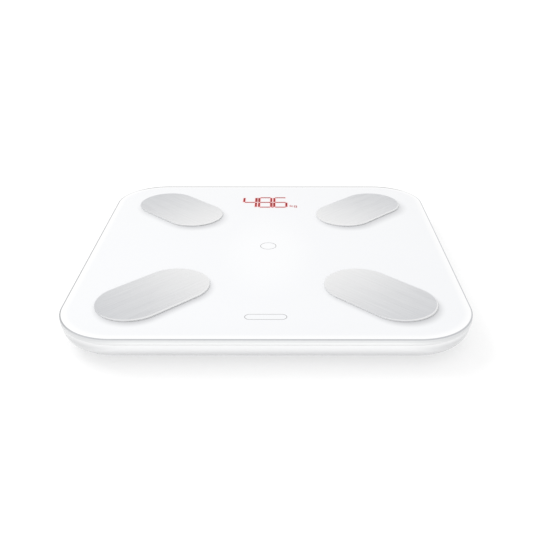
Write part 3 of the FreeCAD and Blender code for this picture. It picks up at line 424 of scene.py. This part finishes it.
def electrode_material(name, sx, sy):
    """Brushed steel whose strokes run along the electrode, with painted shade darkening it towards the end
    nearest the corner, and a painted highlight along its rim on the right and heel side.
    """
    # painted light: the middle end is lit, the corner end shaded
    lit_end_tone = (1.0, 1.0, 1.0, 1)
    shaded_end_tone = (0.765, 0.775, 0.795, 1)
    streak_grey = (0.50, 0.505, 0.53, 1)
    lit = (1.0, 1.0, 1.0, 1)
    cut = (0.97, 0.975, 0.985, 1)
    material, graph, shader = new_material("brushed_steel_" + name)
    centre = middle_of("electrode_" + name)
    place = graph.place((centre.x, centre.y, 0.0), math.atan2(sy, sx))
    stroke = use_group(graph, BRUSHED, Vector=place)
    along, _, up = graph.split(place)
    # painted shade: darker towards the end nearest the scale's corner
    outward = graph.rise(along, -electrode_end, electrode_end, smooth=False)
    tone = graph.blend(outward, lit_end_tone, shaded_end_tone)
    streak = graph.rise(stroke["Stroke"], 0.38, 0.64, smooth=False)
    streak_depth = graph.rise(along, -electrode_end, 20 * MM, 0.12, 0.26)
    tone = graph.blend(graph.math("MULTIPLY", streak, streak_depth), tone, streak_grey)
    # painted highlight along the rim on the right and heel side
    from_light = graph.vector("ADD", graph.source(), (0.7 * MM, -0.9 * MM, 0.0))
    outside = use_group(graph, ELECTRODE_REACH, Vector=from_light)["Outside"]
    rim_highlight = graph.math("MULTIPLY", graph.rise(outside, -0.10 * MM, 0.25 * MM), 0.75)
    tone = graph.blend(rim_highlight, tone, lit)
    cut_edge = graph.rise(up, glass_top + 0.50 * MM, glass_top + 0.42 * MM)
    graph.feed(shader.inputs["Metallic"], graph.math("SUBTRACT", 1.0, cut_edge))
    graph.feed(shader.inputs["Base Color"], graph.blend(cut_edge, tone, cut))
    graph.feed(shader.inputs["Roughness"], graph.rise(stroke["Stroke"], 0.3, 0.7, 0.30, 0.44))
    bump(graph, shader, stroke["Height"], 0.12)
    return material


def battery_material(name):
    """Black sleeve with a copper band at the nub end, over a bare steel can and nub."""
    copper = (0.42, 0.17, 0.07, 1)
    steel = (0.70, 0.69, 0.67, 1)
    band_width = 13.1 * MM
    nub_height = 1.45 * MM
    bare_foot = 0.65 * MM
    soft = 0.1 * MM
    material, graph, shader = new_material("sleeve_" + name)
    out = use_group(graph, MOULDED, Colour=(0.03, 0.032, 0.036, 1), Shade=0.2, Roughness=0.28, Spread=0.15,
                    Grain=900.0)
    cell_low, cell_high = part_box(name)
    length = cell_high.x - cell_low.x
    side = 1.0 if cell_high.x > -cell_low.x else -1.0
    nub_end = max(cell_high.x, -cell_low.x)
    x = graph.split(graph.source())["X"]
    from_nub = graph.math("SUBTRACT", nub_end, graph.math("MULTIPLY", x, side))
    band = graph.rise(from_nub, band_width + soft, band_width - soft)
    nub = graph.rise(from_nub, nub_height + soft / 2, nub_height - soft / 2)
    foot = graph.rise(from_nub, length - bare_foot - soft / 2, length - bare_foot + soft / 2)
    bare = graph.math("ADD", nub, foot, clamp=True)
    sleeve = graph.blend(band, out["Colour"], copper)
    graph.feed(shader.inputs["Base Color"], graph.blend(bare, sleeve, steel))
    graph.feed(shader.inputs["Metallic"], graph.math("MAXIMUM", bare, graph.math("MULTIPLY", band, 0.6)))
    graph.feed(shader.inputs["Roughness"], out["Roughness"])
    bump(graph, shader, out["Height"], 0.06)
    return material


def digit_material():
    """Red light of the display as it shows through the print."""
    material, graph, shader = new_material("red_light", Roughness=0.4, Specular_IOR_Level=0.1,
                                           Emission_Strength=1.0)
    unevenness = graph.noise(graph.source(), 320.0, 2.0, 0.5)
    glow = graph.blend(graph.rise(unevenness, 0.3, 0.7), (0.20, 0.0, 0.002, 1), (0.32, 0.006, 0.008, 1))
    graph.feed(shader.inputs["Emission Color"], glow)
    print_red = graph.blend(unevenness, (0.07, 0.0, 0.0, 1), (0.10, 0.004, 0.004, 1))
    graph.feed(shader.inputs["Base Color"], print_red)
    return material


def glow_material(name, strength):
    """White print tinted by red light from below."""
    material, graph, shader = new_material(name, Roughness=0.08, Emission_Color=(1.0, 0.02, 0.02, 1),
                                           Emission_Strength=strength * 0.5)
    unevenness = graph.noise(graph.source(), 260.0, 2.0, 0.5)
    tint = graph.blend(strength, (0.90, 0.905, 0.92, 1), (0.80, 0.10, 0.10, 1))
    deeper = graph.blend(strength, (0.89, 0.89, 0.905, 1), (0.72, 0.07, 0.07, 1))
    graph.feed(shader.inputs["Base Color"], graph.blend(unevenness, tint, deeper))
    return material


def mark_material():
    """Grey print with a faint fleck."""
    material, graph, shader = new_material("grey_print", Roughness=0.1)
    fleck = graph.noise(graph.source(), 900.0, 2.0, 0.5)
    graph.feed(shader.inputs["Base Color"], graph.blend(fleck, (0.36, 0.36, 0.37, 1), (0.44, 0.44, 0.45, 1)))
    return material


# ---- modelling helpers -------------------------------------------------------------------
SMOOTH_BELOW = math.radians(35.0)  # edges that turn further than this stay sharp


def finish_piece(name, bm, material, body):
    """Turn a bmesh into a piece that rides on a body."""
    bmesh.ops.recalc_face_normals(bm, faces=bm.faces[:])
    mesh = bpy.data.meshes.new(name)
    bm.to_mesh(mesh)
    bm.free()
    mesh.shade_smooth()
    mesh.set_sharp_from_angle(angle=SMOOTH_BELOW)
    piece = bpy.data.objects.new(name, mesh)
    bpy.context.scene.collection.objects.link(piece)
    piece.data.materials.append(material)
    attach(piece, body)
    return piece


def rounded_face(bm, half_x, half_y, corner, z, steps):
    """A level rectangle with round corners."""
    verts = [bm.verts.new((sx * half_x, sy * half_y, z)) for sx, sy in ((-1, -1), (1, -1), (1, 1), (-1, 1))]
    bm.faces.new(verts)
    bmesh.ops.bevel(bm, geom=verts, offset=corner, offset_type="OFFSET", segments=steps, profile=0.5,
                    affect="VERTICES", material=-1)
    return bm.faces[:][-1]


def raise_faces(bm, faces, height):
    """Raise level faces into a solid of that height."""
    raised = bmesh.ops.extrude_face_region(bm, geom=faces)
    verts = [item for item in raised["geom"] if isinstance(item, bmesh.types.BMVert)]
    bmesh.ops.translate(bm, verts=verts, vec=(0.0, 0.0, height))


def level_rims(bm, heights):
    """Edges that lie level at one of these heights."""
    rims = []
    for edge in bm.edges:
        levels = [vert.co.z for vert in edge.verts]
        if any(all(abs(level - height) < 1e-7 for level in levels) for height in heights):
            rims.append(edge)
    return rims


def stroke_bar(bm, start, end, width, low, high):
    """A straight flat stroke with square ends, from START to END."""
    along = (end - start).normalized()
    side = Vector((-along.y, along.x)) * width / 2
    corners = [start - side, end - side, end + side, start + side]
    bottom = [bm.verts.new((corner.x, corner.y, low)) for corner in corners]
    top = [bm.verts.new((corner.x, corner.y, high)) for corner in corners]
    bm.faces.new(top)
    bm.faces.new(bottom[::-1])
    for index in range(4):
        after = (index + 1) % 4
        bm.faces.new((bottom[index], bottom[after], top[after], top[index]))


# ---- the platform ------------------------------------------------------------------------
def platform_piece(material):
    """The glass slab with a round arris along both of its edges."""
    bm = bmesh.new()
    face = rounded_face(bm, half_width, half_depth, corner_radius, glass_bottom, 40)
    raise_faces(bm, [face], glass_top - glass_bottom)
    bmesh.ops.bevel(bm, geom=level_rims(bm, (glass_bottom, glass_top)), offset=0.6 * MM, offset_type="OFFSET",
                    segments=4, profile=0.5, affect="EDGES", material=-1)
    piece = finish_piece("glass_slab", bm, material, "scale_body")
    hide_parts("glass_platform")


# Printed marks, in millimetres: half width, half depth, corner radius and y of the middle.
MARKS = {"ring_mark": (6.0, 6.0, 5.99, 1.2), "bar_mark": (13.3, 3.4, 3.39, -103.6)}
MARK_LEVEL = 0.010 * MM
MARK_THICKNESS = 0.010 * MM
MARK_LINE = 0.45 * MM


def printed_marks():
    """Two plain thin grey marks in the print: a ring at the middle and a rounded bar by the heel edge."""
    material = mark_material()
    for name, (half_x, half_y, corner, y) in MARKS.items():
        bm = bmesh.new()
        face = rounded_face(bm, half_x * MM, half_y * MM, corner * MM, glass_top + MARK_LEVEL, 24)
        bmesh.ops.inset_region(bm, faces=[face], thickness=MARK_LINE, depth=0.0, use_boundary=True)
        bmesh.ops.delete(bm, geom=[face], context="FACES")
        raise_faces(bm, bm.faces[:], MARK_THICKNESS)
        bmesh.ops.translate(bm, verts=bm.verts[:], vec=(0.0, y * MM, 0.0))
        finish_piece(name, bm, material, "scale_body")


# ---- the lit display ---------------------------------------------------------------------
# Segments of one digit: centre as shares of the half width and half height, and True for a level bar.
SEGMENTS = {"top": (0, 1, True), "middle": (0, 0, True), "bottom": (0, -1, True),
            "upper_left": (-1, 0.5, False), "upper_right": (1, 0.5, False),
            "lower_left": (-1, -0.5, False), "lower_right": (1, -0.5, False)}
FOUR = ("upper_left", "middle", "upper_right", "lower_right")
EIGHT = tuple(SEGMENTS)
SIX = tuple(name for name in SEGMENTS if name != "upper_right")
DIGIT_MIDDLE = -3.95 * MM
DIGIT_PITCH = 12.95 * MM
DIGIT_HALF = (5.15 * MM, 11.0 * MM)
SEGMENT_WIDTH = 1.6 * MM
SEGMENT_GAP = 0.85 * MM
POINT_X = 2.4 * MM
UNIT_CORNER = (16.7 * MM, -11.8 * MM)
UNIT_WIDTH = 0.46 * MM
# Straight strokes of the unit letters, in millimetres from their lower left corner.
UNIT_STROKES = (((0.6, 1.5), (0.6, 5.6)), ((0.6, 2.7), (2.7, 4.3)), ((1.3, 3.3), (2.8, 1.4)),
                ((3.8, 1.7), (6.4, 1.7)), ((6.1, 1.7), (6.1, 4.1)), ((6.4, 4.1), (3.8, 4.1)),
                ((4.1, 4.1), (4.1, 1.7)), ((6.1, 1.7), (6.1, 0.3)), ((6.4, 0.3), (3.9, 0.3)))
# Strokes cross, so each is set a step above the last, in turns of LEVEL_TURNS.
LEVEL_STEP = 0.004 * MM
LEVEL_TURNS = 5


def display_strokes():
    """Every lit stroke as start, end and width, in metres from the frame's axes."""
    display_y = middle_of("display_reflector").y
    half_x, half_y = DIGIT_HALF
    strokes = []
    for place, lit in ((-1, FOUR), (0, EIGHT), (1, SIX)):
        for name in lit:
            share_x, share_y, level = SEGMENTS[name]
            middle = Vector((DIGIT_MIDDLE + place * DIGIT_PITCH + share_x * half_x,
                             display_y + share_y * half_y))
            reach = (half_x if level else half_y / 2) - SEGMENT_GAP
            step = Vector((reach, 0)) if level else Vector((0, reach))
            strokes.append((middle - step, middle + step, SEGMENT_WIDTH))
    point = Vector((POINT_X, display_y - half_y))
    half = Vector((SEGMENT_WIDTH / 2, 0))
    strokes.append((point - half, point + half, SEGMENT_WIDTH))
    corner = Vector(UNIT_CORNER) + Vector((0, display_y))
    for start, end in UNIT_STROKES:
        strokes.append((corner + Vector(start) * MM, corner + Vector(end) * MM, UNIT_WIDTH))
    return strokes


def display_layer(name, material, overhang, low):
    """Every stroke in one thin layer, widened by a share of its own width."""
    bm = bmesh.new()
    for index, (start, end, width) in enumerate(display_strokes()):
        wider = width * overhang
        along = (end - start).normalized() * wider / 2
        level = glass_top + low + index % LEVEL_TURNS * LEVEL_STEP
        stroke_bar(bm, start - along, end + along, width + wider, level, level + LEVEL_STEP)
    finish_piece(name, bm, material, "scale_body")


def display_pieces():
    """The lit digits as they show through the print, over two fainter layers of their own glow."""
    display_layer("digit_glow_wide", glow_material("pale_red_glow", 0.10), 1.1, 0.010 * MM)
    display_layer("digit_glow_close", glow_material("red_glow", 0.42), 0.45, 0.034 * MM)
    display_layer("lit_digits", digit_material(), 0.0, 0.058 * MM)


# ---- the feet ----------------------------------------------------------------------------
FOOT_EDGE = 0.6 * MM
FOOT_EDGE_CUT = 0.18 * MM
GROOVE_RADII = (13.2 * MM, 10.4 * MM, 7.6 * MM)
GROOVE_DEPTH = 0.5 * MM
GROOVE_HALF_MOUTH = 0.7 * MM
GROOVE_HALF_BOTTOM = 0.5 * MM


def foot_profile(radius, low, high):
    """Half of a foot's section, as (radius, z), from the middle of its top to the middle of its tread."""
    profile = [(0.0, high), (radius, high), (radius, low + FOOT_EDGE),
               (radius - FOOT_EDGE_CUT, low + FOOT_EDGE_CUT), (radius - FOOT_EDGE, low)]
    for middle in GROOVE_RADII:
        profile += [(middle + GROOVE_HALF_MOUTH, low), (middle + GROOVE_HALF_BOTTOM, low + GROOVE_DEPTH),
                    (middle - GROOVE_HALF_BOTTOM, low + GROOVE_DEPTH), (middle - GROOVE_HALF_MOUTH, low)]
    profile.append((0.0, low))
    return profile


def foot_pad_piece(name, material):
    """A rubber foot with a rounded rim and three concentric tread grooves."""
    low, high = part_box("foot_pad_" + name)
    centre = (low + high) / 2
    bm = bmesh.new()
    verts = [bm.verts.new((x, 0.0, z)) for x, z in foot_profile((high.x - low.x) / 2, low.z, high.z)]
    edges = [bm.edges.new(pair) for pair in zip(verts, verts[1:])]
    bmesh.ops.spin(bm, geom=verts + edges, cent=(0, 0, 0), axis=(0, 0, 1), dvec=(0, 0, 0), angle=2 * math.pi,
                   steps=72, use_merge=True)
    bmesh.ops.remove_doubles(bm, verts=bm.verts[:], dist=1e-6)
    bmesh.ops.translate(bm, verts=bm.verts[:], vec=(centre.x, centre.y, 0.0))
    piece = finish_piece("tread_pad_" + name, bm, material, "foot_" + name)
    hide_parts("foot_pad_" + name)


# ---- studio ------------------------------------------------------------------------------
def make_camera():
    """A short telephoto looking down the middle of the scale from the heel side."""
    place = (8.92 * MM, -488.75 * MM, glass_top + 225.77 * MM)
    looking_down = 27.369
    heading = 0.106
    roll = -0.015
    data = bpy.data.cameras.new("camera")
    data.sensor_width = 36.0
    data.lens = 46.485
    data.clip_start = 0.01
    data.clip_end = 50.0
    camera = bpy.data.objects.new("camera", data)
    turn = Matrix.Rotation(math.radians(heading), 4, "Z")
    turn = turn @ Matrix.Rotation(math.radians(90 - looking_down), 4, "X")
    turn = turn @ Matrix.Rotation(math.radians(roll), 4, "Z")
    camera.matrix_world = Matrix.Translation(place) @ turn
    bpy.context.scene.collection.objects.link(camera)
    bpy.context.scene.camera = camera


def make_light(name, place, size, power):
    """A square soft box aimed at the middle of the floor under the scale."""
    data = bpy.data.lights.new(name, "AREA")
    data.shape = "SQUARE"
    data.size = size
    data.energy = power
    light = bpy.data.objects.new(name, data)
    light.visible_glossy = False
    aim = (-Vector(place)).to_track_quat("-Z", "Y")
    light.matrix_world = Matrix.Translation(place) @ aim.to_matrix().to_4x4()
    bpy.context.scene.collection.objects.link(light)


def make_studio():
    """White surround, a wide soft key beyond the toe end on the left, and a weak fill by the heel end."""
    world = bpy.data.worlds.new("studio")
    world.use_nodes = True
    surround = world.node_tree.nodes["Background"].inputs
    surround["Color"].default_value = (1.0, 1.0, 1.0, 1.0)
    surround["Strength"].default_value = 0.88
    bpy.context.scene.world = world
    bpy.context.scene.view_settings.view_transform = "Standard"
    bpy.context.scene.view_settings.look = "None"
    make_light("key", place=(-2.5, 1.6, 2.8), size=2.2, power=45.0)
    make_light("fill", place=(0.15, -2.0, 0.30), size=1.0, power=3.2)


def make_floor():
    """A plain white floor, seen from above only, so that the underside can be looked at too."""
    bm = bmesh.new()
    bmesh.ops.create_grid(bm, x_segments=1, y_segments=1, size=12.0)
    mesh = bpy.data.meshes.new("floor")
    bm.to_mesh(mesh)
    bm.free()
    floor = bpy.data.objects.new("floor", mesh)
    bpy.context.scene.collection.objects.link(floor)
    material, graph, shader = new_material(
        "floor_white", Base_Color=(0.565, 0.565, 0.565, 1.0), Roughness=1.0, Specular_IOR_Level=0.0,
        Emission_Color=(1.0, 1.0, 1.0, 1.0), Emission_Strength=0.478)
    shown = graph.math("SUBTRACT", 1.0, graph.add("NewGeometry").outputs["Backfacing"])
    graph.feed(shader.inputs["Alpha"], shown)
    mesh.materials.append(material)


# ---- colour every node -------------------------------------------------------------------
def make_finishes():
    """The finish of each material slot that every one of its nodes shares."""
    off_white = (0.80, 0.805, 0.81)
    return {
        "platform_glass": platform_material(),
        "case_plastic": case_material(),
        # the cover's grey is painted shade, matching the painted shade on the case's underside
        "cover_plastic": moulded("cover_plastic", (0.63, 0.635, 0.643), 0.34, grain=1600.0, depth=0.25),
        "cup_plastic": moulded("foot_cup_plastic", off_white, 0.45),
        "frame_plastic": moulded("frame_plastic", (0.87, 0.875, 0.88), 0.5),
        "carrier_plastic": moulded("carrier_plastic", off_white, 0.5),
        "bush_plastic": moulded("natural_nylon", (0.80, 0.79, 0.72), 0.4, Subsurface_Weight=0.1),
        "button_plastic": moulded("button_plastic", (0.55, 0.56, 0.58), 0.4, grain=3000.0),
        "foot_rubber": moulded("foot_rubber", (0.60, 0.605, 0.61), 0.8, shade=0.15, grain=1400.0, depth=0.5),
        "foam_tape": moulded("foam_tape", (0.62, 0.62, 0.63), 0.9, shade=0.25, grain=1500.0, depth=0.8),
        "adhesive": moulded("clear_adhesive", (0.75, 0.75, 0.74), 0.3),
        "gauge_silicone": moulded("white_silicone", (0.85, 0.85, 0.82), 0.35, grain=500.0, depth=0.3),
        "chip_plastic": moulded("chip_epoxy", (0.025, 0.025, 0.028), 0.55, shade=0.3, grain=5000.0),
        "connector_plastic": moulded("connector_nylon", (0.80, 0.77, 0.68), 0.45),
        "reflector_plastic": moulded("reflector_plastic", (0.86, 0.86, 0.86), 0.6),
        "diffuser_film": moulded("diffuser_film", (0.88, 0.88, 0.88), 0.7, grain=6000.0),
        "led_resin": moulded("led_resin", (0.60, 0.05, 0.04), 0.15),
        "ribbon_film": moulded("ribbon_film", (0.80, 0.77, 0.70), 0.35),
        "red_lead": moulded("red_insulation", (0.55, 0.03, 0.03), 0.35),
        "black_lead": moulded("black_insulation", (0.02, 0.02, 0.02), 0.35),
        "grey_lead": moulded("grey_insulation", (0.55, 0.55, 0.56), 0.35),
        "board_laminate": moulded("green_solder_mask", (0.02, 0.14, 0.06), 0.3, shade=0.5, grain=700.0),
        "screw_steel": plated("zinc_plated_steel", (0.62, 0.62, 0.64), 0.32),
        "cell_steel": plated("nickel_plated_steel", (0.70, 0.69, 0.67), 0.30),
        "tinned_metal": plated("tinned_metal", (0.75, 0.75, 0.74), 0.35),
        "contact_nickel": plated("spring_nickel", (0.76, 0.73, 0.66), 0.25),
        "switch_metal": plated("pressed_steel", (0.60, 0.60, 0.61), 0.35),
    }


def dress_nodes(finishes):
    """Give every CAD node its finish; electrodes and batteries each have one of their own."""
    for part in frame["record"]["subparts"]:
        node = part["node"]
        if part["material_slot"] == "electrode_steel":
            corner = node.removeprefix("electrode_")
            material = electrode_material(corner, *CORNERS[corner])
        elif part["material_slot"] == "battery_can":
            material = battery_material(node)
        else:
            material = finishes[part["material_slot"]]
        piece = frame["nodes"][node]
        piece.data.materials.clear()
        piece.data.materials.append(material)


make_camera()
make_studio()
make_floor()
finishes = make_finishes()
dress_nodes(finishes)
platform_piece(finishes["platform_glass"])
display_pieces()
printed_marks()
for corner_name in CORNERS:
    foot_pad_piece(corner_name, finishes["foot_rubber"])
